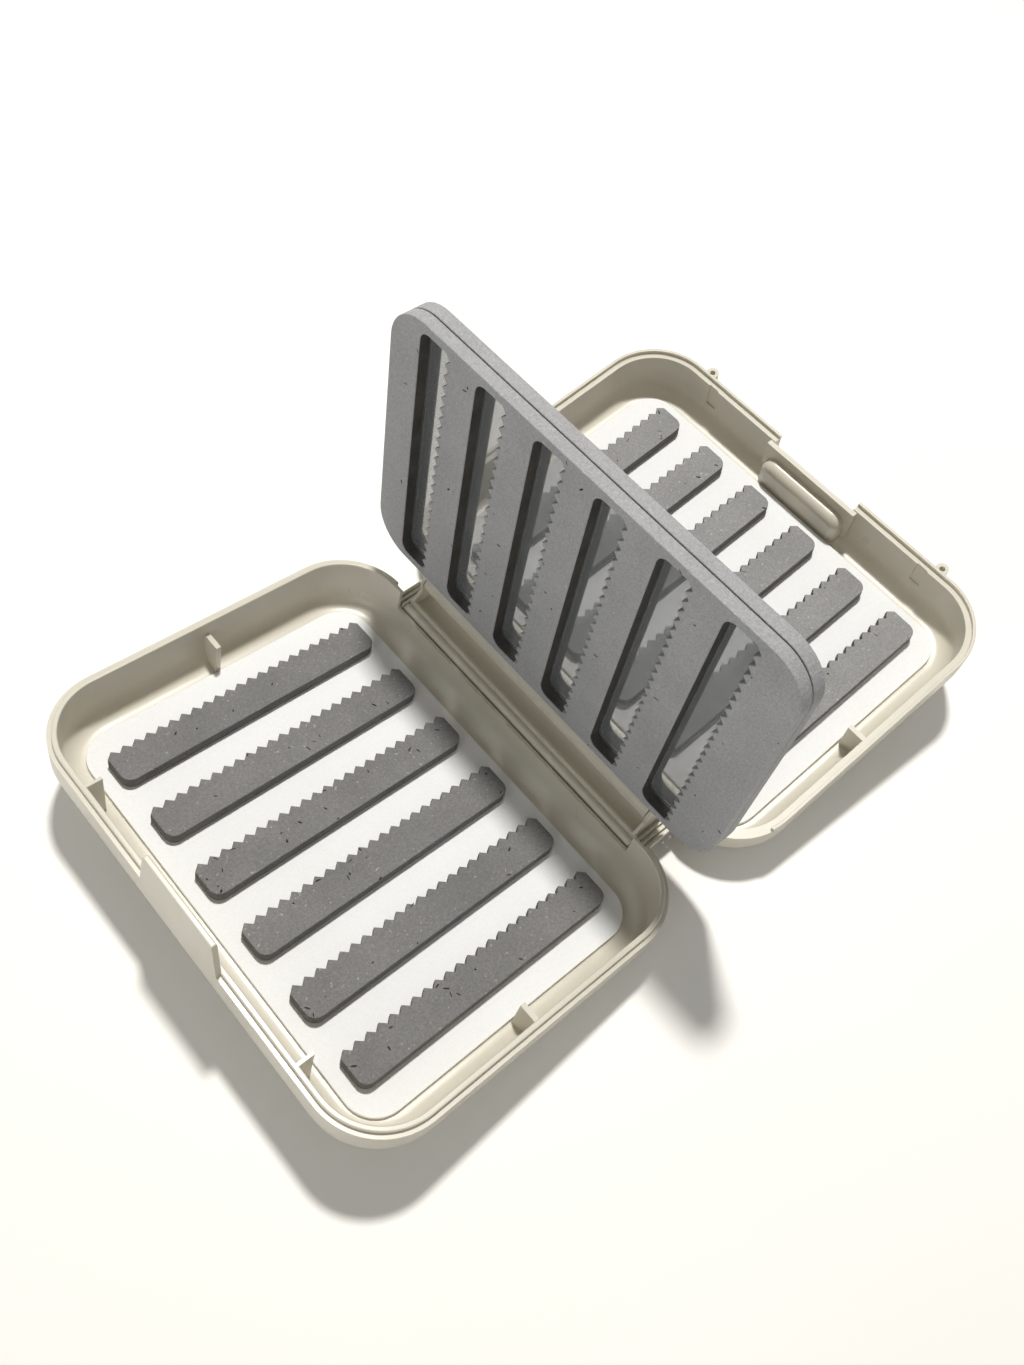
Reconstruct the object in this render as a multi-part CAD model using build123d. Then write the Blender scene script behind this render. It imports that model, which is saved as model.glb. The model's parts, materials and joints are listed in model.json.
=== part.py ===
from build123d import *
from math import cos, sin, radians
import os

# Slit-foam fly box, opened wide: two trays on a shared hinge spine, with a foam page between them.
#
# Millimetres, +Z up. The box stands open on its two hinge-side bottom edges, as a shallow V.
# The origin is on the ground under the middle of the hinge spine. X runs across the open box,
# base tray at -X and lid tray at +X, and Y runs along the hinge.
# Each tray is drawn in a flat frame of its own: X out from the hinge-side inner wall, Z up from the
# outside of the floor. place_tray then turns it about its hinge axis.

# ---- trays -------------------------------------------------------------------------------------
TRAY_WIDTH = 85.1          # inside, from hinge wall to latch wall
TRAY_LENGTH = 113.6        # inside, along the hinge
WALL = 2.2
FLOOR = 1.6
CORNER_RADIUS = 14.0       # inside corner seen from above
FLOOR_FILLET = 4.5         # inside, wall into floor
EDGE_FILLET = 8.5          # outside, wall into bottom
MATING_HEIGHT = 14.25      # plane where the closed trays meet, above each tray's bottom
LIP_STEP = 1.0             # height of the base's lip above its ledge
LIP_THICKNESS = 1.2
LIP_ROUNDING = 0.25        # radius of a lip's top edges, as a share of its thickness
RIM_CLEARANCE = 0.2        # between the two rims when closed
RIM_STEP_START = 10.0      # the lid's outer lip begins here, clear of the swing near the hinge

# ---- hinge -------------------------------------------------------------------------------------
OPEN_TILT = 7.95           # each tray's rise from flat when the box is fully open, degrees
AXIS_DROP = 6.0            # hinge axis below the mating plane, and from the spine's middle
AXIS_OUT = 2.64            # hinge axis outside the inner wall
BEAD_RADIUS = 1.25         # rounded long edges of the spine
GROOVE_RADIUS = 1.8        # hollow in each tray's wall round the hinge axis
CUT_RISE = 0.5             # top of the lowered wall above the axis
NOTCH_MARGIN = 13.3        # from the outer notch for the spine's ends to the inside end wall
POST_SKIN = 3.3            # hinge wall left standing beyond the lowered part, inside the notch
TRAY_PIN_RADIUS = 0.75
PIN_CLEARANCE = 0.06       # radial, all hinge pins
PIN_BOSS_LENGTH = 1.6
END_GAP = 0.6              # between the spine's ends and the trays' posts
BEAD_END_GAP = 0.3

# ---- spine -------------------------------------------------------------------------------------
SPINE_BACK = 0.9           # outside face of the spine, from the plane of the hinge axes
SPINE_FLOOR = 1.2
LIP_OUTER = 5.15           # raised thin edge of the trough, from the middle
LIP_EDGE = 0.5
LIP_HEIGHT = 2.8           # above the plane of the axes
CHEEK_THICKNESS = 0.8
EAR_RADIUS = 2.5
EAR_SHOULDER = 5.0         # where the cheek's slope meets the ear, above the plane of the axes
PAGE_PIVOT = 7.3           # page's pivot above the plane of the hinge axes
RIB_THICKNESS = 0.6
RIB_PITCH = 1.25
RIB_RADIUS = 1.3
RIB_GAP = 0.7

# ---- page: two slotted foam panels on a clear plate ---------------------------------------------
PAGE_LEAN = 2.46           # lean toward the lid when the box is open, degrees
PAGE_TOP_GAP = 0.91        # closed, from the page's far edge to the base's guide fins
PAGE_END_GAP = 1.95        # from each end of the page to the trays' end walls
PAGE_CORNER = 9.5
PANEL_THICKNESS = 3.0
PLATE_THICKNESS = 0.3
PLATE_INSET = 0.6
PAGE_BOTTOM = 5.03         # foam's bottom edge above the pivot
HOLDER_RADIUS = 2.4
HOLDER_NECK = 3.6
HOLDER_FLANGE = 5.8
FLANGE_HEIGHT = 0.6
HOLDER_GAP = 0.3           # between the holder and the cheeks
PAGE_PIN_RADIUS = 1.1
PLATE_TAIL = 3.5           # plate below the foam, inside the holder
TAIL_END_MARGIN = 2.0      # from the plate's tail to each end of the holder
SLOT_CLEARANCE = 0.05

# ---- foam strips, their slots and the sheets -----------------------------------------------------
STRIP_COUNT = 6
STRIP_WIDTH = 8.7          # over the teeth
STRIP_THICKNESS = 3.0
FIRST_STRIP_MARGIN = 20.6  # plain edge of strip 1, from the tray's +Y end wall
LAST_STRIP_MARGIN = 11.6   # plain edge of the last strip, from the -Y end wall
TOOTH_COUNT = 23
TOOTH_DEPTH = 1.3
STRIP_CORNER = 2.5         # plain-side corners
STRIP_START = 3.6          # from the sheet's hinge-side edge
STRIP_END = 3.7            # from the sheet's latch-side edge
FIRST_SLOT_MARGIN = 8.55   # plain edge of slot 1, from the page's +Y end
SLOT_BOTTOM = 2.0          # slots above the foam's bottom edge
SHEET_THICKNESS = 1.0
SHEET_HINGE_MARGIN = 5.5
SHEET_LATCH_MARGIN = 5.4
SHEET_SIDE_MARGIN = 5.05
SHEET_CORNER = 7.5

# ---- fins, latch and lanyard ears ----------------------------------------------------------------
REST_FIN_REACH = 4.7       # fins at the middle of the short sides, which the page rests on
REST_FIN_THICKNESS = 1.2
REST_FIN_CLEARANCE = 0.15  # under the closed page
GUIDE_FIN_MARGIN = 21.2    # latch-wall fins of the base, from the end walls
GUIDE_FIN_REACH = 3.5
GUIDE_FIN_THICKNESS = 0.7
GUIDE_GAP_WIDTH = 3.0      # shallow recesses for them in the lid
GUIDE_GAP_DEPTH = 0.3
GUIDE_GAP_HEIGHT = 7.0
TONGUE_HALF = 12.9         # half width at the foot
TONGUE_TOP_HALF = 11.2
TONGUE_RISE = 10.55        # above the mating plane
TONGUE_THICKNESS = 1.3
BUMP_PLACE = 5.7
BUMP_DROP = 4.5            # below the tongue's top
BUMP_RADIUS = 0.8
BUMP_LENGTH = 1.8
LATCH_SIDE_CLEARANCE = 0.5
BUMP_CLEARANCE = 0.3
PANEL_WALL = 1.3           # set-back panel of the lid behind the tongue
PANEL_TOP_DROP = 0.3
SCOOP_REACH = 3.2          # finger scoop, swelling into the lid
SCOOP_TOP = 10.0
SCOOP_FOOT = -1.5          # below the tray's bottom, so that it opens downward
SCOOP_CORNER = 3.6
SCOOP_FILLET = 2.4
SCOOP_WALL = 1.2
LANYARD_MARGIN = 17.65     # from the end walls
LANYARD_HOLE_RADIUS = 0.7
LANYARD_HOLE_OUT = 0.8     # hole centre outside the lid's wall
LANYARD_RADIUS = 1.6
LANYARD_HEIGHT = 3.0

# ---- worked out from the above ---------------------------------------------------------------------
AXIS_HEIGHT = MATING_HEIGHT - AXIS_DROP
LEDGE_HEIGHT = MATING_HEIGHT - LIP_STEP / 2
BASE_LIP_TOP = MATING_HEIGHT + LIP_STEP / 2
LID_BAND_TOP = MATING_HEIGHT - LIP_STEP / 2 - RIM_CLEARANCE
LID_LIP_TOP = MATING_HEIGHT + LIP_STEP / 2 - RIM_CLEARANCE
SKIN = AXIS_OUT - GROOVE_RADIUS
# along the hinge, from the trays' end walls inward: notch, spine, its ribs, its cheeks and the holder
NOTCH_HALF = TRAY_LENGTH / 2 - NOTCH_MARGIN
CUT_HALF = NOTCH_HALF - POST_SKIN
SPINE_HALF = NOTCH_HALF - END_GAP
LAST_RIB = SPINE_HALF - RIB_THICKNESS
FIRST_RIB = LAST_RIB - 2 * RIB_PITCH
CHEEK_OUTSIDE = FIRST_RIB - RIB_GAP
CHEEK_INSIDE = CHEEK_OUTSIDE - CHEEK_THICKNESS
HOLDER_HALF = CHEEK_INSIDE - HOLDER_GAP
PLATE_TAIL_HALF = HOLDER_HALF - TAIL_END_MARGIN
PAGE_LENGTH = TRAY_LENGTH - 2 * PAGE_END_GAP
PAGE_HEIGHT = TRAY_WIDTH + AXIS_OUT - PAGE_PIVOT - PAGE_BOTTOM - GUIDE_FIN_REACH - PAGE_TOP_GAP
PAGE_HALF_THICKNESS = PANEL_THICKNESS + PLATE_THICKNESS / 2
STRIP_LENGTH = TRAY_WIDTH - SHEET_HINGE_MARGIN - STRIP_START - STRIP_END - SHEET_LATCH_MARGIN
STRIP_PITCH = (TRAY_LENGTH - FIRST_STRIP_MARGIN - LAST_STRIP_MARGIN) / (STRIP_COUNT - 1)
FIRST_STRIP_EDGE = TRAY_LENGTH / 2 - FIRST_STRIP_MARGIN
FIRST_SLOT_EDGE = PAGE_LENGTH / 2 - FIRST_SLOT_MARGIN
REST_FIN_PLACE = TRAY_WIDTH / 2
GUIDE_FIN_PLACE = TRAY_LENGTH / 2 - GUIDE_FIN_MARGIN
LANYARD_PLACE = TRAY_LENGTH / 2 - LANYARD_MARGIN
SHEET_TOP = FLOOR + SHEET_THICKNESS
TONGUE_TOP = MATING_HEIGHT + TONGUE_RISE
NOTCH_WIDTH_HALF = TONGUE_HALF + LATCH_SIDE_CLEARANCE
OUTER_WALL = TRAY_WIDTH + WALL
PANEL_FACE = OUTER_WALL - TONGUE_THICKNESS - BUMP_RADIUS - BUMP_CLEARANCE
TILT = radians(OPEN_TILT)
# the rounded hinge-side bottom edge of each tilted tray touches the ground
AXIS_ABOVE_GROUND = (EDGE_FILLET + (AXIS_HEIGHT - EDGE_FILLET) * cos(TILT)
                     - (EDGE_FILLET - WALL + AXIS_OUT) * sin(TILT))
REACH = TRAY_LENGTH + TRAY_WIDTH   # longer than anything it cuts


def slab(x0, x1, y0, y1, z0, z1):
    """Plain block between two corners."""
    return Pos((x0 + x1) / 2, (y0 + y1) / 2, (z0 + z1) / 2) * Box(x1 - x0, y1 - y0, z1 - z0)


def rounded_slab(x0, x1, y_half, z0, z1, radius):
    """Block with rounded corners seen from above."""
    outline = Pos((x0 + x1) / 2, 0, z0) * RectangleRounded(x1 - x0, 2 * y_half, radius)
    return extrude(outline, amount=z1 - z0)


def rod(x, z, radius, y0, y1):
    """Round rod along Y."""
    return Pos(x, (y0 + y1) / 2, z) * Rot(90, 0, 0) * Cylinder(radius, y1 - y0)


def both_ends(shape):
    """The shape and its mirror image at the other end of the hinge."""
    return shape + mirror(shape, about=Plane.XZ)


def lip_ring(inset_out, inset_in, z0, z1):
    """Lip along the rim, between two distances outside the inner wall, with rounded top edges."""
    outer = rounded_slab(-inset_out, TRAY_WIDTH + inset_out, TRAY_LENGTH / 2 + inset_out,
                         z0, z1, CORNER_RADIUS + inset_out)
    inner = rounded_slab(-inset_in, TRAY_WIDTH + inset_in, TRAY_LENGTH / 2 + inset_in,
                         z0, z1, CORNER_RADIUS + inset_in)
    band = outer - inner
    return fillet(band.edges().group_by(Axis.Z)[-1], LIP_ROUNDING * (inset_out - inset_in))


def outer_block(height):
    """Solid tray shape with its rounded outer edges; it also trims what is added inside a tray."""
    block = rounded_slab(-WALL, OUTER_WALL, TRAY_LENGTH / 2 + WALL, 0, height, CORNER_RADIUS + WALL)
    return fillet(block.edges().group_by(Axis.Z)[0], EDGE_FILLET)


def shell(rim_height):
    """Open tray up to a flat rim."""
    inside = rounded_slab(0, TRAY_WIDTH, TRAY_LENGTH / 2, FLOOR, rim_height, CORNER_RADIUS)
    inside = fillet(inside.edges().group_by(Axis.Z)[0], FLOOR_FILLET)
    return outer_block(rim_height) - inside


def cut_hinge_wall(tray):
    """Lower the hinge wall, hollow it round the spine's bead and add the stub pins at its ends."""
    tray -= slab(-REACH, 0, -CUT_HALF, CUT_HALF, AXIS_HEIGHT + CUT_RISE, REACH)
    tray -= slab(-REACH, -SKIN, -NOTCH_HALF, NOTCH_HALF, AXIS_HEIGHT, REACH)
    tray -= rod(-AXIS_OUT, AXIS_HEIGHT, GROOVE_RADIUS, -NOTCH_HALF, NOTCH_HALF)
    boss = rod(-AXIS_OUT, AXIS_HEIGHT, BEAD_RADIUS, NOTCH_HALF, NOTCH_HALF + PIN_BOSS_LENGTH)
    boss -= rounded_slab(0, TRAY_WIDTH, TRAY_LENGTH / 2, 0, REACH, CORNER_RADIUS)
    pin = rod(-AXIS_OUT, AXIS_HEIGHT, TRAY_PIN_RADIUS, FIRST_RIB, NOTCH_HALF)
    return tray + both_ends(boss + pin)


def rest_fins():
    """Fins at the middle of the short sides, just under the closed page."""
    top = MATING_HEIGHT - PAGE_HALF_THICKNESS - REST_FIN_CLEARANCE
    side = TRAY_LENGTH / 2
    fin = slab(REST_FIN_PLACE - REST_FIN_THICKNESS / 2, REST_FIN_PLACE + REST_FIN_THICKNESS / 2,
               side - REST_FIN_REACH, side + WALL / 4, FLOOR, top)
    return both_ends(fin)


def place_tray(shape, side):
    """From the flat tray frame to the open box; side is +1 for the lid, -1 for the base."""
    placed = Pos(AXIS_DROP, 0, AXIS_ABOVE_GROUND) * Rot(0, -OPEN_TILT, 0) * Pos(
        AXIS_OUT, 0, -AXIS_HEIGHT) * shape
    return placed if side > 0 else mirror(placed, about=Plane.YZ)


def base_tray():
    """Lower tray: lip inside a ledge, guide fins, and the latch tongue with its two snap bumps."""
    tray = shell(LEDGE_HEIGHT) + lip_ring(LIP_THICKNESS, 0, LEDGE_HEIGHT, BASE_LIP_TOP)
    guide = slab(TRAY_WIDTH - GUIDE_FIN_REACH, TRAY_WIDTH + WALL / 4,
                 GUIDE_FIN_PLACE - GUIDE_FIN_THICKNESS / 2, GUIDE_FIN_PLACE + GUIDE_FIN_THICKNESS / 2,
                 FLOOR, BASE_LIP_TOP)
    tray += (rest_fins() + both_ends(guide)) & outer_block(BASE_LIP_TOP)
    outline = Polyline((-TONGUE_HALF, LEDGE_HEIGHT), (TONGUE_HALF, LEDGE_HEIGHT),
                       (TONGUE_TOP_HALF, TONGUE_TOP), (-TONGUE_TOP_HALF, TONGUE_TOP), close=True)
    tongue = extrude(Plane.YZ.offset(OUTER_WALL - TONGUE_THICKNESS) * make_face(outline),
                     amount=TONGUE_THICKNESS)
    tongue = fillet(tongue.edges().group_by(Axis.Z)[-1], LIP_ROUNDING * TONGUE_THICKNESS)
    bump = rod(OUTER_WALL - TONGUE_THICKNESS, TONGUE_TOP - BUMP_DROP, BUMP_RADIUS,
               BUMP_PLACE - BUMP_LENGTH / 2, BUMP_PLACE + BUMP_LENGTH / 2)
    tray += tongue + both_ends(bump)
    return cut_hinge_wall(tray)


def scoop_block(half_width, z0, z1, x_in, x_out, radius):
    """Rounded block in the latch wall, from x_in out to x_out, softened at its inner face."""
    outline = Pos(0, (z0 + z1) / 2) * RectangleRounded(2 * half_width, z1 - z0, SCOOP_CORNER)
    body = extrude(Plane.YZ.offset(x_in) * outline, amount=x_out - x_in)
    return fillet(body.edges().group_by(Axis.X)[0], radius)


def lid_tray():
    """Upper tray: outer lip, notch with a set-back panel for the tongue, and a finger scoop."""
    lip = lip_ring(WALL, LIP_THICKNESS + RIM_CLEARANCE, LID_BAND_TOP, LID_LIP_TOP)
    lip -= slab(-REACH, RIM_STEP_START, -REACH, REACH, 0, REACH)
    panel_edge = NOTCH_WIDTH_HALF + PANEL_WALL
    panel = slab(PANEL_FACE - PANEL_WALL, TRAY_WIDTH + WALL / 4, -panel_edge, panel_edge,
                 FLOOR, LID_BAND_TOP - PANEL_TOP_DROP)
    trim = outer_block(LID_BAND_TOP)
    tray = shell(LID_BAND_TOP) + lip + ((rest_fins() + panel) & trim)
    tray -= slab(PANEL_FACE, REACH, -NOTCH_WIDTH_HALF, NOTCH_WIDTH_HALF, -REACH, REACH)
    scoop_face = PANEL_FACE - PANEL_WALL - SCOOP_REACH
    scoop = scoop_block(NOTCH_WIDTH_HALF, SCOOP_FOOT, SCOOP_TOP, scoop_face, PANEL_FACE, SCOOP_FILLET)
    tray += scoop & trim
    tray -= scoop_block(NOTCH_WIDTH_HALF - SCOOP_WALL, SCOOP_FOOT + SCOOP_WALL, SCOOP_TOP - SCOOP_WALL,
                        scoop_face + SCOOP_WALL, REACH, SCOOP_FILLET - SCOOP_WALL / 2)
    guide_gap = slab(TRAY_WIDTH - WALL, TRAY_WIDTH + GUIDE_GAP_DEPTH,
                     GUIDE_FIN_PLACE - GUIDE_GAP_WIDTH / 2, GUIDE_FIN_PLACE + GUIDE_GAP_WIDTH / 2,
                     LID_BAND_TOP - GUIDE_GAP_HEIGHT, REACH)
    tray -= both_ends(guide_gap)
    return cut_hinge_wall(tray)


def lanyard_ears():
    """Two small eyelets on the lid's latch wall, flush with its rim."""
    z0 = MATING_HEIGHT - LANYARD_HEIGHT
    centre = OUTER_WALL + LANYARD_HOLE_OUT
    ear = slab(OUTER_WALL, centre, LANYARD_PLACE - LANYARD_RADIUS, LANYARD_PLACE + LANYARD_RADIUS,
               z0, MATING_HEIGHT)
    ear += Pos(centre, LANYARD_PLACE, (z0 + MATING_HEIGHT) / 2) * Cylinder(LANYARD_RADIUS, LANYARD_HEIGHT)
    ear -= slab(OUTER_WALL - REACH, OUTER_WALL, 0, REACH, 0, REACH)
    ear -= Pos(centre, LANYARD_PLACE, 0) * Cylinder(LANYARD_HOLE_RADIUS, REACH)
    return both_ends(ear)


def foam_sheet():
    """Thin liner glued to the tray's floor."""
    return rounded_slab(SHEET_HINGE_MARGIN, TRAY_WIDTH - SHEET_LATCH_MARGIN,
                        TRAY_LENGTH / 2 - SHEET_SIDE_MARGIN, FLOOR, SHEET_TOP, SHEET_CORNER)


def toothed_outline():
    """Strip outline: plain edge along Y = 0, teeth toward +Y, length along X."""
    pitch = STRIP_LENGTH / TOOTH_COUNT
    root = STRIP_WIDTH - TOOTH_DEPTH
    points = [(0, 0), (STRIP_LENGTH, 0), (STRIP_LENGTH, root)]
    for i in reversed(range(TOOTH_COUNT)):
        points += [((i + 0.5) * pitch, STRIP_WIDTH), (i * pitch, root)]
    face = make_face(Polyline(*points, close=True))
    return fillet(face.vertices().group_by(Axis.Y)[0], STRIP_CORNER)


def strip(index):
    """One foam strip on the liner, counted from the +Y end."""
    body = extrude(toothed_outline(), amount=STRIP_THICKNESS)
    return Pos(SHEET_HINGE_MARGIN + STRIP_START, FIRST_STRIP_EDGE - index * STRIP_PITCH, SHEET_TOP) * body


def place_page(shape):
    """From the page's own frame, with its pivot at the origin, to the open box."""
    return Pos(0, 0, AXIS_ABOVE_GROUND + PAGE_PIVOT) * Rot(0, PAGE_LEAN, 0) * shape


def page_outline(inset):
    """Page outline in its plane: along Y, and up from the pivot."""
    outline = RectangleRounded(PAGE_LENGTH - 2 * inset, PAGE_HEIGHT - 2 * inset, PAGE_CORNER - inset)
    return Pos(0, PAGE_BOTTOM + PAGE_HEIGHT / 2) * outline


def foam_panel(side):
    """Slotted panel on one face of the plate; the slots are what the strips were cut from."""
    face = PLATE_THICKNESS / 2
    body = extrude(Plane.YZ * page_outline(0), amount=PANEL_THICKNESS)
    slot = extrude(Plane.YZ * Rot(0, 0, 90) * toothed_outline(), amount=PANEL_THICKNESS)
    for i in range(STRIP_COUNT):
        body -= Pos(0, FIRST_SLOT_EDGE - i * STRIP_PITCH, PAGE_BOTTOM + SLOT_BOTTOM) * slot
    return Pos(face if side > 0 else -face - PANEL_THICKNESS, 0, 0) * body


def page_plate():
    """Clear plate between the panels, with a tail that the holder grips."""
    plate = extrude(Plane.YZ.offset(-PLATE_THICKNESS / 2) * page_outline(PLATE_INSET),
                    amount=PLATE_THICKNESS)
    return plate + slab(-PLATE_THICKNESS / 2, PLATE_THICKNESS / 2, -PLATE_TAIL_HALF, PLATE_TAIL_HALF,
                        PAGE_BOTTOM - PLATE_TAIL, PAGE_BOTTOM + PAGE_CORNER)


def page_holder():
    """Bar that pivots between the spine's cheeks and grips the plate's tail."""
    top = PAGE_BOTTOM
    half = HOLDER_HALF
    holder = rod(0, 0, HOLDER_RADIUS, -half, half)
    holder += slab(-HOLDER_NECK / 2, HOLDER_NECK / 2, -half, half, 0, top)
    holder += slab(-HOLDER_FLANGE / 2, HOLDER_FLANGE / 2, -half, half, top - FLANGE_HEIGHT, top)
    grip = PLATE_THICKNESS / 2 + SLOT_CLEARANCE
    holder -= slab(-grip, grip, -PLATE_TAIL_HALF - SLOT_CLEARANCE, PLATE_TAIL_HALF + SLOT_CLEARANCE,
                   PAGE_BOTTOM - PLATE_TAIL - SLOT_CLEARANCE, REACH)
    return holder + both_ends(rod(0, 0, PAGE_PIN_RADIUS, half, CHEEK_OUTSIDE))


def cheek():
    """End cheek of the trough at +Y, rising to an ear for the page's pivot."""
    top = PAGE_PIVOT + EAR_RADIUS
    sides = Polyline((-EAR_RADIUS, PAGE_PIVOT), (-EAR_RADIUS, EAR_SHOULDER), (-LIP_OUTER, LIP_HEIGHT),
                     (-LIP_OUTER, -SPINE_BACK), (LIP_OUTER, -SPINE_BACK), (LIP_OUTER, LIP_HEIGHT),
                     (EAR_RADIUS, EAR_SHOULDER), (EAR_RADIUS, PAGE_PIVOT))
    crown = ThreePointArc((-EAR_RADIUS, PAGE_PIVOT), (0, top), (EAR_RADIUS, PAGE_PIVOT))
    outline = make_face(Curve() + [sides, crown])
    body = extrude(Plane.XZ.offset(-CHEEK_OUTSIDE) * outline, amount=CHEEK_THICKNESS)
    return body - rod(0, PAGE_PIVOT, PAGE_PIN_RADIUS + PIN_CLEARANCE, 0, REACH)


def end_ribs():
    """Cross ribs at the +Y end of the spine, bored for the trays' stub pins."""
    ribs = []
    for y in (FIRST_RIB, FIRST_RIB + RIB_PITCH, LAST_RIB):
        rib = slab(-AXIS_DROP, AXIS_DROP, y, y + RIB_THICKNESS, -SPINE_BACK, RIB_RADIUS)
        for x in (-AXIS_DROP, AXIS_DROP):
            rib += rod(x, 0, RIB_RADIUS, y, y + RIB_THICKNESS)
            rib -= rod(x, 0, TRAY_PIN_RADIUS + PIN_CLEARANCE, 0, REACH)
        ribs.append(rib)
    return ribs


def hinge_spine():
    """Trough between the trays, with a bead along each edge; drawn about the plane of the axes."""
    end_half_width = AXIS_DROP - GROOVE_RADIUS
    bead_half = FIRST_RIB - BEAD_END_GAP
    floor_top = SPINE_FLOOR - SPINE_BACK
    spine = slab(-AXIS_DROP, AXIS_DROP, -bead_half, bead_half, -SPINE_BACK, floor_top)
    spine += slab(-end_half_width, end_half_width, -SPINE_HALF, SPINE_HALF, -SPINE_BACK, floor_top)
    for side in (-1, 1):
        spine += rod(side * AXIS_DROP, 0, BEAD_RADIUS, -bead_half, bead_half)
        edge = side * (LIP_OUTER - LIP_EDGE / 2)
        spine += slab(edge - LIP_EDGE / 2, edge + LIP_EDGE / 2, -bead_half, bead_half, 0, LIP_HEIGHT)
    spine += both_ends(cheek())
    for rib in end_ribs():
        spine += both_ends(rib)
    return Pos(0, 0, AXIS_ABOVE_GROUND) * spine


def write(shape, name):
    """Save one sub-part under its node's name."""
    export_step(shape, f"parts/{name}.step")


os.makedirs("parts", exist_ok=True)
write(place_tray(base_tray(), -1), "base_tray")
write(place_tray(lid_tray(), 1), "lid_tray")
write(place_tray(lanyard_ears(), 1), "lid_lanyard_ears")
write(hinge_spine(), "hinge_spine")
write(place_page(page_holder()), "page_holder")
write(place_page(page_plate()), "page_plate")
write(place_page(foam_panel(-1)), "page_foam_front")
write(place_page(foam_panel(1)), "page_foam_back")
for tray_name, tray_side in (("base", -1), ("lid", 1)):
    write(place_tray(foam_sheet(), tray_side), f"{tray_name}_foam_sheet")
    for strip_index in range(STRIP_COUNT):
        write(place_tray(strip(strip_index), tray_side), f"{tray_name}_strip_{strip_index + 1}")
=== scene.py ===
import json
import math
import bpy
import bmesh
from mathutils import Matrix, Vector


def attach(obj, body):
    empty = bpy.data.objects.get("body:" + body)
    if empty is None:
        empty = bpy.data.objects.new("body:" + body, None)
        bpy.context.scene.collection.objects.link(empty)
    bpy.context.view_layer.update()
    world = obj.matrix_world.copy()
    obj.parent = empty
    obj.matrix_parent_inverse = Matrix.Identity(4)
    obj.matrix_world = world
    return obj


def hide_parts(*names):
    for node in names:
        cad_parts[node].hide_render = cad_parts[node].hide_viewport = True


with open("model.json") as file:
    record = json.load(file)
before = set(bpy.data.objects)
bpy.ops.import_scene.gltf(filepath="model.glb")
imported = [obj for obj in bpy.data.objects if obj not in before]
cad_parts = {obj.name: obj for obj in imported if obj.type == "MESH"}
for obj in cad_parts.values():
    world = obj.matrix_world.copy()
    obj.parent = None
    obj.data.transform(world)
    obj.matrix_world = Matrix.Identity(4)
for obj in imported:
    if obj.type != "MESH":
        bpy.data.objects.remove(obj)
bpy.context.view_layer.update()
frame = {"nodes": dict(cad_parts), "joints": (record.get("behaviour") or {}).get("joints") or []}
print("fly box: frame loaded with", len(frame["nodes"]), "nodes")

mm = 0.001

hinges = {joint["name"]: Vector(joint["pos_m"]) for joint in frame["joints"]}
trayPlace = {
    "tilt": 7.95,             # each tray's rise from flat, degrees
    "axisOut": 2.64 * mm,     # hinge axis outside the tray's inner wall
    "axisHeight": 8.25 * mm,  # hinge axis above the tray's bottom
}
pageLean = 2.46               # degrees, towards the lid


def trayMatrix(side):
    # flat tray (X out from its hinge wall, Z up from its bottom) to its place in the open box
    matrix = (Matrix.Translation((hinges["lid_hinge"].x, 0, hinges["lid_hinge"].z))
              @ Matrix.Rotation(math.radians(-trayPlace["tilt"]), 4, "Y")
              @ Matrix.Translation((trayPlace["axisOut"], 0, -trayPlace["axisHeight"])))
    return matrix if side == "lid" else Matrix.Scale(-1, 4, (1, 0, 0)) @ matrix


def pageMatrix():
    # upright page (X through its thickness, Z up from its pivot) to its place
    lean = Matrix.Rotation(math.radians(pageLean), 4, "Y")
    return Matrix.Translation(hinges["page_pivot"]) @ lean


def flatBox(node, matrix):
    # lowest and highest corner of a CAD node in one of the flat frames above
    back = matrix.inverted()
    points = [back @ v.co for v in frame["nodes"][node].data.vertices]
    low = Vector([min(p[i] for p in points) for i in range(3)])
    high = Vector([max(p[i] for p in points) for i in range(3)])
    return low, high


def grey(value):
    return (value, value, value)


def startMaterial(name):
    material = bpy.data.materials.new(name)
    material.use_nodes = True
    tree = material.node_tree
    shader = tree.nodes["Principled BSDF"]
    place = tree.nodes.new("ShaderNodeTexCoord")
    return material, tree, shader, place.outputs["Object"]


def noiseField(tree, coords, scale, detail, roughness=0.5):
    noise = tree.nodes.new("ShaderNodeTexNoise")
    noise.inputs["Scale"].default_value = scale
    noise.inputs["Detail"].default_value = detail
    noise.inputs["Roughness"].default_value = roughness
    tree.links.new(coords, noise.inputs["Vector"])
    return noise.outputs["Fac"]


def cellField(tree, coords, scale):
    cells = tree.nodes.new("ShaderNodeTexVoronoi")
    cells.inputs["Scale"].default_value = scale
    tree.links.new(coords, cells.inputs["Vector"])
    return cells.outputs["Distance"]


def ramp(tree, field, stops):
    node = tree.nodes.new("ShaderNodeValToRGB")
    edges = node.color_ramp.elements
    while len(edges) < len(stops):
        edges.new(0.5)
    for edge, (place, colour) in zip(edges, stops):
        edge.position = place
        edge.color = (*colour, 1)
    tree.links.new(field, node.inputs["Fac"])
    return node.outputs["Color"]


def multiply(tree, first, second):
    node = tree.nodes.new("ShaderNodeMix")
    node.data_type = "RGBA"
    node.blend_type = "MULTIPLY"
    node.inputs["Factor"].default_value = 1.0
    tree.links.new(first, node.inputs["A"])
    tree.links.new(second, node.inputs["B"])
    return node.outputs["Result"]


def cloudy(tree, coords, look, detail):
    # slow change between the look's shade and its colour
    field = noiseField(tree, coords, look["cloudScale"], detail)
    return ramp(tree, field, [(0.3, look["shade"]), (0.7, look["colour"])])


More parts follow.
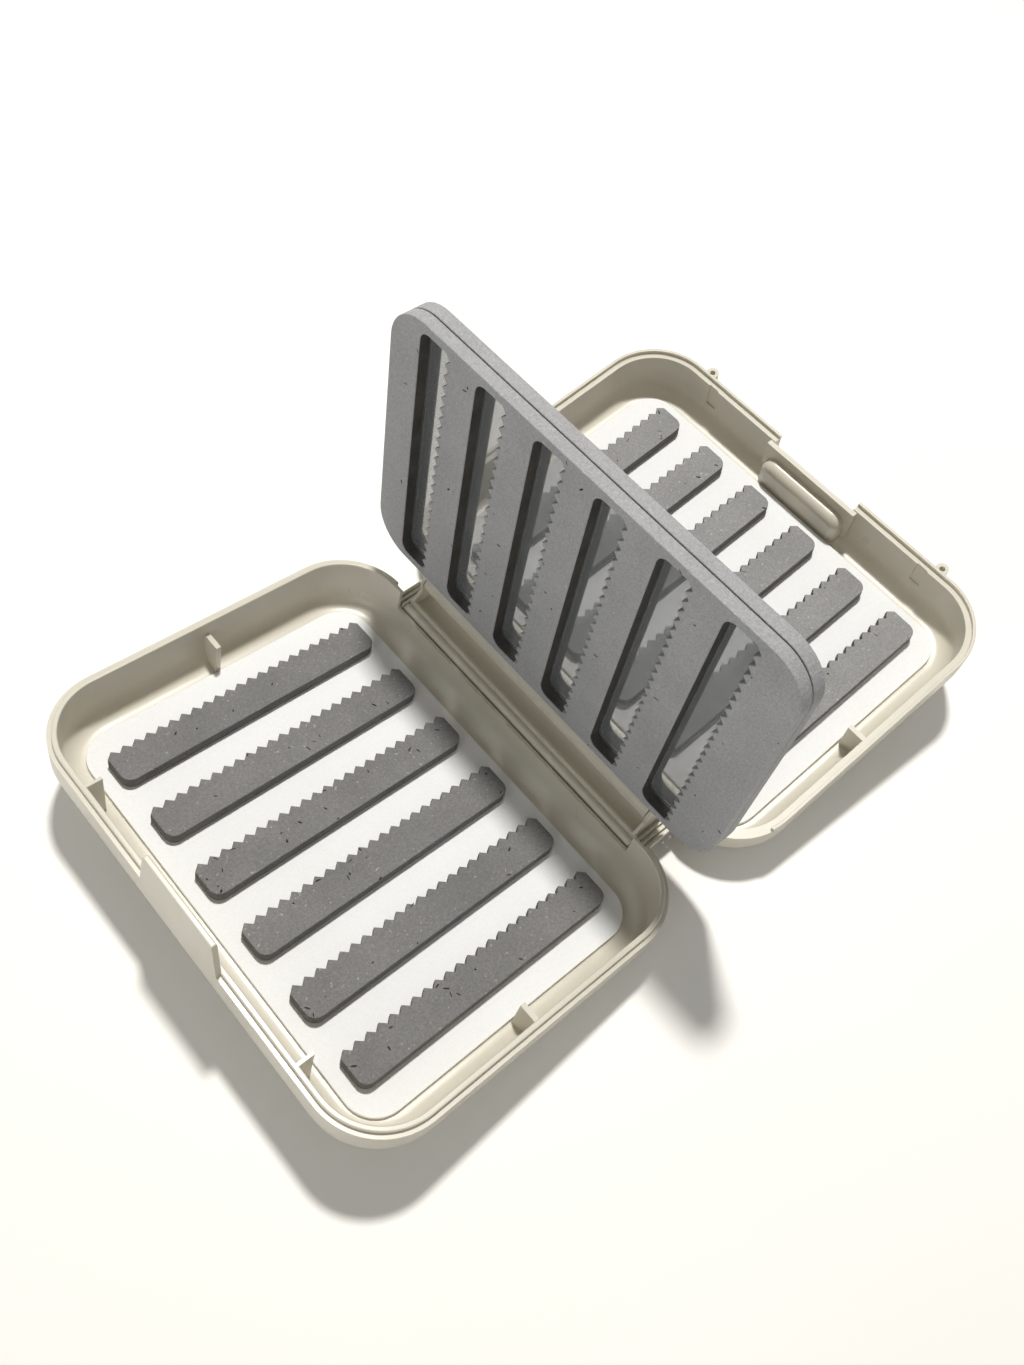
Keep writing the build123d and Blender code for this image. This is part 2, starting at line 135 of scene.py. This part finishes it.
def rubbed(tree, coords, look):
    # uneven gloss of a surface that has been handled
    field = noiseField(tree, coords, look["rubScale"], 4)
    return ramp(tree, field, [(look["rubFrom"], grey(look["roughLow"])),
                              (0.7, grey(look["roughHigh"]))])


def bumpFrom(tree, shader, field, look):
    node = tree.nodes.new("ShaderNodeBump")
    node.inputs["Strength"].default_value = look["bump"]
    node.inputs["Distance"].default_value = look["bumpDepth"]
    tree.links.new(field, node.inputs["Height"])
    tree.links.new(node.outputs["Normal"], shader.inputs["Normal"])


def mouldedPlastic(look):
    material, tree, shader, coords = startMaterial("mouldedPlastic")
    clouds = cloudy(tree, coords, look, 3)
    grain = ramp(tree, noiseField(tree, coords, look["grainScale"], 2),
                 [(0.25, grey(look["grainDark"])), (0.75, grey(1))])
    tree.links.new(multiply(tree, clouds, grain), shader.inputs["Base Color"])
    tree.links.new(rubbed(tree, coords, look), shader.inputs["Roughness"])
    shader.inputs["Specular IOR Level"].default_value = look["gloss"]
    shader.inputs["Subsurface Weight"].default_value = look["glow"]
    shader.inputs["Subsurface Radius"].default_value = look["glowColour"]
    shader.inputs["Subsurface Scale"].default_value = look["glowDepth"]
    bumpFrom(tree, shader, noiseField(tree, coords, look["grainScale"], 2), look)
    return material


def cellFoam(name, look):
    material, tree, shader, coords = startMaterial(name)
    clouds = cloudy(tree, coords, look, 4)
    cells = ramp(tree, cellField(tree, coords, look["cellScale"]),
                 [(0.0, grey(look["cellDark"])), (0.55, grey(1))])
    specks = ramp(tree, noiseField(tree, coords, look["speckScale"], 1, 0.3),
                  [(0.0, grey(1)), (0.70, grey(1)), (0.80, grey(look["speckLight"]))])
    grain = ramp(tree, noiseField(tree, coords, look["grainScale"], 3, 0.7),
                 [(0.32, grey(look["grainDark"])), (0.68, grey(1))])
    colour = clouds
    for layer in (cells, specks, grain):
        colour = multiply(tree, colour, layer)
    tree.links.new(colour, shader.inputs["Base Color"])
    shader.inputs["Roughness"].default_value = look["rough"]
    shader.inputs["Specular IOR Level"].default_value = look["gloss"]
    bumpFrom(tree, shader, cellField(tree, coords, look["cellScale"]), look)
    return material


def clearSheet(look):
    material, tree, shader, coords = startMaterial("clearSheet")
    tree.links.new(cloudy(tree, coords, look, 3), shader.inputs["Base Color"])
    tree.links.new(rubbed(tree, coords, look), shader.inputs["Roughness"])
    shader.inputs["Alpha"].default_value = look["cover"]
    shader.inputs["IOR"].default_value = look["bend"]
    return material


def hookShadeMark(look):
    # open cut in the foam; its dark inside is painted shade on a thin lens
    material, tree, shader, coords = startMaterial("hookShadeMark")
    tree.links.new(cloudy(tree, coords, look, 2), shader.inputs["Base Color"])
    shader.inputs["Roughness"].default_value = look["rough"]
    shader.inputs["Specular IOR Level"].default_value = look["gloss"]
    return material


shellLook = {
    "colour": (0.68, 0.645, 0.545), "shade": (0.63, 0.595, 0.50), "cloudScale": 30,
    "grainScale": 2500, "grainDark": 0.95, "bump": 0.25, "bumpDepth": 0.02 * mm,
    "rubScale": 90, "rubFrom": 0.3, "roughLow": 0.27, "roughHigh": 0.38, "gloss": 0.5,
    # light that the thin walls let through
    "glow": 0.18, "glowDepth": 2.5 * mm, "glowColour": (1.0, 0.88, 0.65),
}
foamGrain = {   # what every foam has until its own look says otherwise
    "cloudScale": 70, "cellScale": 2600, "cellDark": 0.72, "speckScale": 1300, "speckLight": 1.0,
    "grainScale": 1700, "grainDark": 0.8, "bump": 0.5, "bumpDepth": 0.1 * mm,
}
stripLooksPaintedLight = {   # the same foam in both trays, the lower tray's painted a shade darker and the lid's lighter: painted shade and painted light for how each tray is lit
    "base": {**foamGrain,
             "colour": (0.24, 0.235, 0.228), "shade": (0.19, 0.186, 0.18),
             "rough": 0.66, "gloss": 0.35, "speckLight": 1.9, "grainDark": 0.72},
    "lid": {**foamGrain,
            "colour": (0.325, 0.32, 0.312), "shade": (0.27, 0.266, 0.26),
            "rough": 0.62, "gloss": 0.4, "speckLight": 1.8, "grainDark": 0.74},
}
# painted shade: the strips' cut sides are the same foam painted darker, standing in for the shade
# on them
cutSideShadeLook = {
    **foamGrain, "colour": (0.20, 0.195, 0.185), "shade": (0.15, 0.146, 0.14),
    "rough": 0.9, "gloss": 0.2, "cloudScale": 160, "cellDark": 0.7, "bump": 0.6,
}
# painted light: the page is the same foam as the strips, painted lighter to make up for its shaded
# front
pageLitLook = {
    **foamGrain, "colour": (0.465, 0.465, 0.472), "shade": (0.405, 0.405, 0.411),
    "rough": 0.8, "gloss": 0.25, "cloudScale": 60, "cellScale": 2900, "cellDark": 0.8,
    "speckLight": 1.25, "grainScale": 1900, "grainDark": 0.76, "bump": 0.4,
}
# painted shade: the page's own foam painted near black on the slot walls, for the shade deep in the
# slots
slotShadeLook = {
    **foamGrain, "colour": (0.12, 0.112, 0.10), "shade": (0.08, 0.075, 0.068),
    "rough": 0.9, "gloss": 0.2, "cloudScale": 160, "cellScale": 2900, "cellDark": 0.7,
    "grainScale": 1900,
}
linerLook = {
    **foamGrain, "colour": (0.91, 0.91, 0.905), "shade": (0.89, 0.89, 0.885),
    "rough": 0.85, "gloss": 0.25, "cloudScale": 50, "cellScale": 2200, "cellDark": 0.95,
    "speckScale": 900, "grainScale": 1500, "grainDark": 0.97, "bump": 0.2,
}
plateLook = {
    "colour": (0.24, 0.25, 0.25), "shade": (0.19, 0.20, 0.20), "cloudScale": 60,
    "rubScale": 240, "rubFrom": 0.35, "roughLow": 0.08, "roughHigh": 0.22,
    "cover": 0.50, "bend": 1.5,   # how much each face hides, and how much it bends light
}
hookShadeLook = {
    "colour": (0.06, 0.055, 0.05), "shade": (0.02, 0.018, 0.016), "cloudScale": 900,
    "rough": 0.95, "gloss": 0.1,
}
shellPlastic = mouldedPlastic(shellLook)
stripFoamsPaintedLight = {side: cellFoam(side + "StripFoamPaintedLight", look) for side, look in stripLooksPaintedLight.items()}
cutSidePaintedShade = cellFoam("cutSidePaintedShade", cutSideShadeLook)
pageLitFoam = cellFoam("pageLitFoam", pageLitLook)
slotPaintedShade = cellFoam("slotPaintedShade", slotShadeLook)
linerFoam = cellFoam("linerFoam", linerLook)
clearPlate = clearSheet(plateLook)
hookCutShade = hookShadeMark(hookShadeLook)
print("fly box: materials ready")


def arcPoints(centre, radius, fromAngle, toAngle, steps):
    points = []
    for i in range(steps + 1):
        angle = math.radians(fromAngle + (toAngle - fromAngle) * i / steps)
        points.append(Vector((centre[0] + radius * math.cos(angle),
                              centre[1] + radius * math.sin(angle))))
    return points


def roundedRectangle(low, high, radius, steps=10):
    left, right = low[0] + radius, high[0] - radius
    near, far = low[1] + radius, high[1] - radius
    corners = [((right, far), 0), ((left, far), 90), ((left, near), 180), ((right, near), 270)]
    return [p for centre, start in corners
            for p in arcPoints(centre, radius, start, start + 90, steps)]


def toothedShape(length, width, look, steps=6):
    # anticlockwise: plain edge on Y = 0 with rounded corners, teeth along the far edge
    corner, pitch, root = look["corner"], length / look["teeth"], width - look["toothDepth"]
    points = arcPoints((corner, corner), corner, 180, 270, steps)
    points += arcPoints((length - corner, corner), corner, 270, 360, steps)
    points.append(Vector((length, root)))
    for i in reversed(range(look["teeth"])):
        points.append(Vector(((i + 0.5) * pitch, width)))
        points.append(Vector((i * pitch, root)))
    return points


def insetLoop(loop, inset, sharpest=0.4):
    # moves each point to the left of the loop's travel, less far at a sharp tip
    moved = []
    for i, here in enumerate(loop):
        ahead = (loop[(i + 1) % len(loop)] - here).normalized()
        behind = (here - loop[i - 1]).normalized()
        normal = Vector((-ahead.y - behind.y, ahead.x + behind.x))
        moved.append(here + normal * inset / max(sharpest, 0.5 * normal.length_squared))
    return moved


def foamBlock(outline, holes, thickness, arris, ridge=0.0):
    # cut foam: walls along the outline and round each hole, with soft arrises and a faint ridge
    middle, bevel, flank = 0.5 * thickness, 0.3 * arris, 3 * arris
    levels = [(0, arris), (bevel, bevel), (arris, 0),
              (middle - flank, 0), (middle, -ridge), (middle + flank, 0),
              (thickness - arris, 0), (thickness - bevel, bevel), (thickness, arris)]
    if not ridge:
        del levels[3:6]
    block = bmesh.new()
    paintedShadeFace = block.faces.layers.int.new("paintedShadeFace")   # painted shade mask: 1 on outer walls, 2 in holes, 0 elsewhere
    capEdges = ([], [])
    for number, loop in enumerate([outline] + [list(reversed(hole)) for hole in holes]):
        rings = [[block.verts.new((p.x, p.y, z)) for p in insetLoop(loop, inset)]
                 for z, inset in levels]
        after = [(i + 1) % len(loop) for i in range(len(loop))]
        for step, (lower, upper) in enumerate(zip(rings, rings[1:])):
            plainWall = 1 < step < len(levels) - 3
            for i, j in enumerate(after):
                wall = block.faces.new((lower[i], lower[j], upper[j], upper[i]))
                wall[paintedShadeFace] = (2 if number else 1) if plainWall else 0
        for edges, ring in zip(capEdges, (rings[0], rings[-1])):
            edges += [block.edges.get((ring[i], ring[j])) for i, j in enumerate(after)]
    for edges, up in zip(capEdges, ((0, 0, -1), (0, 0, 1))):
        bmesh.ops.triangle_fill(block, edges=edges, use_beauty=True, use_dissolve=False,
                                normal=up)
    bmesh.ops.recalc_face_normals(block, faces=block.faces[:])
    return block


def markShadedSlotWalls(block, look):
    # of the page's cut faces only the slots' plain sides and ends get the near-black foam, painted
    # shade for the deep slots
    paintedShadeFace = block.faces.layers.int["paintedShadeFace"]
    for face in block.faces:
        plainSide = face.normal.x < -look["sideFacing"]
        slotEnd = abs(face.normal.y) > look["endFacing"]
        face[paintedShadeFace] = 1 if face[paintedShadeFace] == 2 and (plainSide or slotEnd) else 0


def addPiece(name, data):
    piece = bpy.data.objects.new(name, data)
    bpy.context.scene.collection.objects.link(piece)
    return piece


def finishMesh(name, block, matrix, material):
    block.transform(matrix)
    if matrix.determinant() < 0:
        bmesh.ops.reverse_faces(block, faces=block.faces[:])
    data = bpy.data.meshes.new(name)
    block.to_mesh(data)
    block.free()
    data.materials.append(material)
    return addPiece(name, data)


def socketOf(tree, name):
    return next(item.identifier for item in tree.interface.items_tree if item.name == name)


def foamRowTree(treeName, look, foam, paintedShadeFoam):
    # one foam piece in, a row of them out, with small hook cuts scattered on their tops, each a
    # thin lens of painted shade
    tree = bpy.data.node_groups.new(treeName, "GeometryNodeTree")
    for name, flow, kind in (
            ("Geometry", "INPUT", "Geometry"), ("Count", "INPUT", "Int"),
            ("Pitch", "INPUT", "Float"), ("Cuts Per Area", "INPUT", "Float"),
            ("Cut Length", "INPUT", "Float"), ("Cut Width", "INPUT", "Float"),
            ("Cut Depth", "INPUT", "Float"), ("Seed", "INPUT", "Int"),
            ("Geometry", "OUTPUT", "Geometry")):
        tree.interface.new_socket(name, in_out=flow, socket_type="NodeSocket" + kind)
    node = {name: tree.nodes.new(kind) for name, kind in {
        "start": "NodeGroupInput", "end": "NodeGroupOutput",
        "turnBack": "ShaderNodeMath", "offset": "ShaderNodeCombineXYZ",
        "line": "GeometryNodeMeshLine", "row": "GeometryNodeInstanceOnPoints",
        "strips": "GeometryNodeRealizeInstances", "normal": "GeometryNodeInputNormal",
        "split": "ShaderNodeSeparateXYZ", "top": "ShaderNodeMath",
        "spots": "GeometryNodeDistributePointsOnFaces", "lens": "GeometryNodeMeshUVSphere",
        "lensSize": "ShaderNodeCombineXYZ", "flat": "GeometryNodeTransform",
        "spin": "FunctionNodeRandomValue", "grow": "FunctionNodeRandomValue",
        "cuts": "GeometryNodeInstanceOnPoints", "cutMesh": "GeometryNodeRealizeInstances",
        "foam": "GeometryNodeSetMaterial", "paintedShadeSides": "GeometryNodeSetMaterial",
        "paintedShadeMask": "GeometryNodeInputNamedAttribute", "shadeInCuts": "GeometryNodeSetMaterial",
        "join": "GeometryNodeJoinGeometry"}.items()}
    node["line"].mode = "OFFSET"
    node["turnBack"].operation = "MULTIPLY"
    node["top"].operation = "GREATER_THAN"
    node["spin"].data_type = "FLOAT_VECTOR"
    node["grow"].data_type = "FLOAT_VECTOR"
    node["paintedShadeMask"].data_type = "INT"
    for target, into, value in (
            ("turnBack", 1, -1), ("top", 1, look["topFacing"]),
            ("lens", "Segments", look["segments"]), ("lens", "Rings", look["rings"]),
            ("lens", "Radius", 1), ("spin", "Min", (0, 0, 0)), ("spin", "Max", (0, 0, math.pi)),
            ("grow", "Min", look["smallest"]), ("grow", "Max", look["largest"]),
            ("paintedShadeMask", "Name", "paintedShadeFace"), ("foam", "Material", foam),
            ("paintedShadeSides", "Material", paintedShadeFoam), ("shadeInCuts", "Material", hookCutShade)):
        node[target].inputs[into].default_value = value
    for source, out, target, into in (
            # the row of pieces
            ("start", "Pitch", "turnBack", 0), ("turnBack", "Value", "offset", "Y"),
            ("start", "Count", "line", "Count"), ("offset", "Vector", "line", "Offset"),
            ("line", "Mesh", "row", "Points"), ("start", "Geometry", "row", "Instance"),
            ("row", "Instances", "strips", "Geometry"),
            # where hooks went in: anywhere on the tops
            ("normal", "Normal", "split", "Vector"), ("split", "Z", "top", 0),
            ("strips", "Geometry", "spots", "Mesh"), ("top", "Value", "spots", "Selection"),
            ("start", "Cuts Per Area", "spots", "Density"), ("start", "Seed", "spots", "Seed"),
            # one lens-shaped cut, turned and sized anew at each spot
            ("start", "Cut Length", "lensSize", "X"), ("start", "Cut Width", "lensSize", "Y"),
            ("start", "Cut Depth", "lensSize", "Z"), ("lens", "Mesh", "flat", "Geometry"),
            ("lensSize", "Vector", "flat", "Scale"), ("spots", "Points", "cuts", "Points"),
            ("flat", "Geometry", "cuts", "Instance"), ("spin", "Value", "cuts", "Rotation"),
            ("grow", "Value", "cuts", "Scale"), ("start", "Seed", "spin", "Seed"),
            ("start", "Seed", "grow", "Seed"), ("cuts", "Instances", "cutMesh", "Geometry"),
            # materials, the darker foam on the masked faces as painted shade, then everything
            # together
            ("cutMesh", "Geometry", "shadeInCuts", "Geometry"), ("strips", "Geometry", "foam", "Geometry"),
            ("foam", "Geometry", "paintedShadeSides", "Geometry"),
            ("paintedShadeMask", "Attribute", "paintedShadeSides", "Selection"),
            ("paintedShadeSides", "Geometry", "join", "Geometry"), ("shadeInCuts", "Geometry", "join", "Geometry"),
            ("join", "Geometry", "end", "Geometry")):
        tree.links.new(node[source].outputs[out], node[target].inputs[into])
    return tree


def growRow(name, block, tree, values, matrix):
    # runs the tree on one flat-lying piece, then puts the plain result in its place
    data = bpy.data.meshes.new(name + "Seed")
    block.to_mesh(data)
    block.free()
    seedPiece = addPiece(name + "Seed", data)
    modifier = seedPiece.modifiers.new("row", "NODES")
    modifier.node_group = tree
    for socket, value in values.items():
        modifier[socketOf(tree, socket)] = value
    graph = bpy.context.evaluated_depsgraph_get()
    grown = bpy.data.meshes.new_from_object(seedPiece.evaluated_get(graph), depsgraph=graph)
    seedPiece.modifiers.remove(modifier)
    bpy.data.objects.remove(seedPiece)
    grown.name = name
    grown.transform(matrix)
    if matrix.determinant() < 0:
        grown.flip_normals()
    return addPiece(name, grown)


liner = {"corner": 7.5 * mm, "arris": 0.15 * mm}
strip = {
    "count": 6, "teeth": 23, "toothDepth": 1.3 * mm, "corner": 2.5 * mm, "arris": 0.16 * mm,
    "ridge": 0.05 * mm,       # faint raised line along the middle of the cut sides
}
hookCuts = {
    "length": 0.45 * mm, "width": 0.15 * mm, "depth": 0.03 * mm, "segments": 8, "rings": 4,
    "smallest": (0.35, 0.6, 1.0), "largest": (1.7, 1.6, 1.0),      # times the sizes above
    "topFacing": 0.95,        # a face that looks up at least this much can have cuts
    # on each square metre
    "perArea": {"base": 17000.0, "lid": 17000.0, "front": 6000.0, "back": 6000.0},
    "seeds": {"base": 4, "lid": 11, "front": 7, "back": 2},
}


def cutSizes(place):
    return {"Cuts Per Area": hookCuts["perArea"][place], "Cut Length": hookCuts["length"],
            "Cut Width": hookCuts["width"], "Cut Depth": hookCuts["depth"],
            "Seed": hookCuts["seeds"][place]}


for side in ("base", "lid"):
    matrix = trayMatrix(side)
    low, high = flatBox(side + "_foam_sheet", matrix)
    outline = roundedRectangle((low.x, low.y), (high.x, high.y), liner["corner"])
    sheet = finishMesh(side + "Liner", foamBlock(outline, [], high.z - low.z, liner["arris"]),
                       matrix @ Matrix.Translation((0, 0, low.z)), linerFoam)
    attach(sheet, side)
    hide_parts(side + "_foam_sheet")
    nodes = [f"{side}_strip_{i + 1}" for i in range(strip["count"])]
    low, high = flatBox(nodes[0], matrix)
    pitch = low.y - flatBox(nodes[1], matrix)[0].y
    outline = toothedShape(high.x - low.x, high.y - low.y, strip)
    block = foamBlock(outline, [], high.z - low.z, strip["arris"], strip["ridge"])
    block.transform(Matrix.Translation(low))
    row = foamRowTree(side + "StripRow", hookCuts, stripFoamsPaintedLight[side], cutSidePaintedShade)
    piece = growRow(side + "Strips", block, row,
                    {"Count": strip["count"], "Pitch": pitch, **cutSizes(side)}, matrix)
    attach(piece, side)
    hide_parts(*nodes)
print("fly box: liners and strips made")

page = {
    "corner": 9.5 * mm, "arris": 0.2 * mm, "firstSlot": 46.3 * mm, "slotPitch": 16.28 * mm,
    "slotLength": 66.9 * mm, "slotWidth": 8.7 * mm, "slotBottom": 2.0 * mm,
    "sideFacing": 0.5, "endFacing": 0.9,   # how squarely a slot's wall faces to get the painted shade
}
upright = pageMatrix()
standing = {       # XY drawing onto YZ, with its top to the outside of the page
    "front": Matrix(((0, 0, -1, 0), (1, 0, 0, 0), (0, 1, 0, 0), (0, 0, 0, 1))),
    "back": Matrix(((0, 0, 1, 0), (1, 0, 0, 0), (0, 1, 0, 0), (0, 0, 0, 1))),
}
for face in ("front", "back"):
    node = "page_foam_" + face
    low, high = flatBox(node, upright)
    outline = roundedRectangle((low.y, low.z), (high.y, high.z), page["corner"])
    shape = toothedShape(page["slotLength"], page["slotWidth"], strip)
    slots = []
    for i in range(strip["count"]):
        corner = Vector((page["firstSlot"] - i * page["slotPitch"], low.z + page["slotBottom"]))
        slots.append([corner + Vector((-p.y, p.x)) for p in shape])
    block = foamBlock(outline, slots, high.x - low.x, page["arris"])
    markShadedSlotWalls(block, page)
    inner = high.x if face == "front" else low.x
    single = foamRowTree(face + "Panel", hookCuts, pageLitFoam, slotPaintedShade)
    panel = growRow("page" + face.capitalize(), block, single,
                    {"Count": 1, "Pitch": 0.0, **cutSizes(face)},
                    upright @ Matrix.Translation((inner, 0, 0)) @ standing[face])
    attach(panel, "page")
    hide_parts(node)
print("fly box: page made")

finishes = {
    "base_tray": shellPlastic, "lid_tray": shellPlastic, "lid_lanyard_ears": shellPlastic,
    "hinge_spine": shellPlastic, "page_holder": shellPlastic, "page_plate": clearPlate,
}
for node, material in finishes.items():
    data = frame["nodes"][node].data
    data.materials.clear()
    data.materials.append(material)
print("fly box: moulded pieces and plate coloured")

table = {
    "size": 3.0, "colour": (0.94, 0.925, 0.89), "nearColour": (0.93, 0.91, 0.85),
    "glow": 0.03, "rough": 0.6, "smearScale": 9, "smearDark": 0.985,
    "farFrom": 0.45, "farTo": 1.2,       # metres out, where the table fades into the backdrop
    "nearFrom": 0.05, "nearTo": 0.30,    # metres towards the viewer, where the tint comes in
}
lights = {
    "ceilingLamp": {
        "place": (0.24, 0.24, 1.0), "size": 0.09, "power": 9.8, "colour": (1.0, 0.985, 0.955),
    },
    "windowFill": {
        "place": (-1.00, -0.25, 0.36), "size": 0.6, "power": 2.4, "colour": (0.92, 0.96, 1.0),
    },
}
skyLook = {"strength": 0.22, "colour": (1.0, 0.97, 0.92), "backdrop": (1, 1, 1)}
cameraPlace = {
    "position": (-114.03 * mm, -85.80 * mm, 256.99 * mm), "turn": (30.120, -5.619, -41.065),
    "lens": 32.46, "sensor": 36.0, "nearest": 10 * mm,
}


def mathNode(tree, operation, *sources):
    node = tree.nodes.new("ShaderNodeMath")
    node.operation = operation
    for number, source in enumerate(sources):
        tree.links.new(source, node.inputs[number])
    return node.outputs["Value"]


def mapRange(tree, field, fromMin, fromMax, toMin=0.0, toMax=1.0):
    node = tree.nodes.new("ShaderNodeMapRange")
    for name, value in (("From Min", fromMin), ("From Max", fromMax),
                        ("To Min", toMin), ("To Max", toMax)):
        node.inputs[name].default_value = value
    tree.links.new(field, node.inputs["Value"])
    return node.outputs["Result"]


def mixShaders(tree, share, first, second):
    node = tree.nodes.new("ShaderNodeMixShader")
    tree.links.new(share, node.inputs["Fac"])
    tree.links.new(first, node.inputs[1])
    tree.links.new(second, node.inputs[2])
    return node.outputs["Shader"]


def tableTop(look):
    material, tree, shader, coords = startMaterial("tableTop")
    split = tree.nodes.new("ShaderNodeSeparateXYZ")
    tree.links.new(coords, split.inputs["Vector"])
    towards = mathNode(tree, "ADD", split.outputs["X"], split.outputs["Y"])
    nearness = mapRange(tree, towards, -look["nearFrom"], -look["nearTo"])
    tint = ramp(tree, nearness, [(0.0, look["colour"]), (1.0, look["nearColour"])])
    smears = ramp(tree, noiseField(tree, coords, look["smearScale"], 4),
                  [(0.3, grey(look["smearDark"])), (0.7, grey(1))])
    tree.links.new(multiply(tree, tint, smears), shader.inputs["Base Color"])
    shader.inputs["Roughness"].default_value = look["rough"]
    away = tree.nodes.new("ShaderNodeVectorMath")
    away.operation = "LENGTH"
    tree.links.new(coords, away.inputs[0])
    glow = tree.nodes.new("ShaderNodeEmission")
    fade = mapRange(tree, away.outputs["Value"], look["farFrom"], look["farTo"], look["glow"])
    tree.links.new(fade, glow.inputs["Strength"])
    black = tree.nodes.new("ShaderNodeEmission")
    black.inputs["Strength"].default_value = 0
    seen = tree.nodes.new("ShaderNodeLightPath")     # only the camera sees the table glow
    pick = mixShaders(tree, seen.outputs["Is Camera Ray"], black.outputs["Emission"],
                      glow.outputs["Emission"])
    both = tree.nodes.new("ShaderNodeAddShader")
    tree.links.new(shader.outputs["BSDF"], both.inputs[0])
    tree.links.new(pick, both.inputs[1])
    tree.links.new(both.outputs["Shader"], tree.nodes["Material Output"].inputs["Surface"])
    return material


bpy.ops.mesh.primitive_plane_add(size=table["size"], location=(0, 0, 0))
floor = bpy.context.object
floor.name = "tableTop"
floor.data.materials.append(tableTop(table))

for name, lamp in lights.items():
    data = bpy.data.lights.new(name, "AREA")
    data.shape = "DISK"
    data.size = lamp["size"]
    data.energy = lamp["power"]
    data.color = lamp["colour"]
    holder = addPiece(name, data)
    holder.location = lamp["place"]
    holder.rotation_euler = (-Vector(lamp["place"])).to_track_quat("-Z", "Y").to_euler()

world = bpy.data.worlds.new("studio")
world.use_nodes = True
sky = world.node_tree
background = sky.nodes["Background"]
background.inputs["Color"].default_value = (*skyLook["colour"], 1)
background.inputs["Strength"].default_value = skyLook["strength"]
backdrop = sky.nodes.new("ShaderNodeBackground")     # what the camera, the gloss and the plate see
backdrop.inputs["Color"].default_value = (*skyLook["backdrop"], 1)
path = sky.nodes.new("ShaderNodeLightPath").outputs
glossSees = mathNode(sky, "MAXIMUM", path["Is Glossy Ray"], path["Is Transmission Ray"])
directSees = mathNode(sky, "MAXIMUM", path["Is Camera Ray"], glossSees)
sky.links.new(mixShaders(sky, directSees, background.outputs["Background"],
                         backdrop.outputs["Background"]),
              sky.nodes["World Output"].inputs["Surface"])
bpy.context.scene.world = world

camera = addPiece("camera", bpy.data.cameras.new("camera"))
camera.data.lens = cameraPlace["lens"]
camera.data.sensor_width = cameraPlace["sensor"]
camera.data.clip_start = cameraPlace["nearest"]
camera.location = cameraPlace["position"]
camera.rotation_euler = [math.radians(angle) for angle in cameraPlace["turn"]]
bpy.context.scene.camera = camera
bpy.context.scene.view_settings.view_transform = "Standard"
print("fly box: table, lights and camera set")
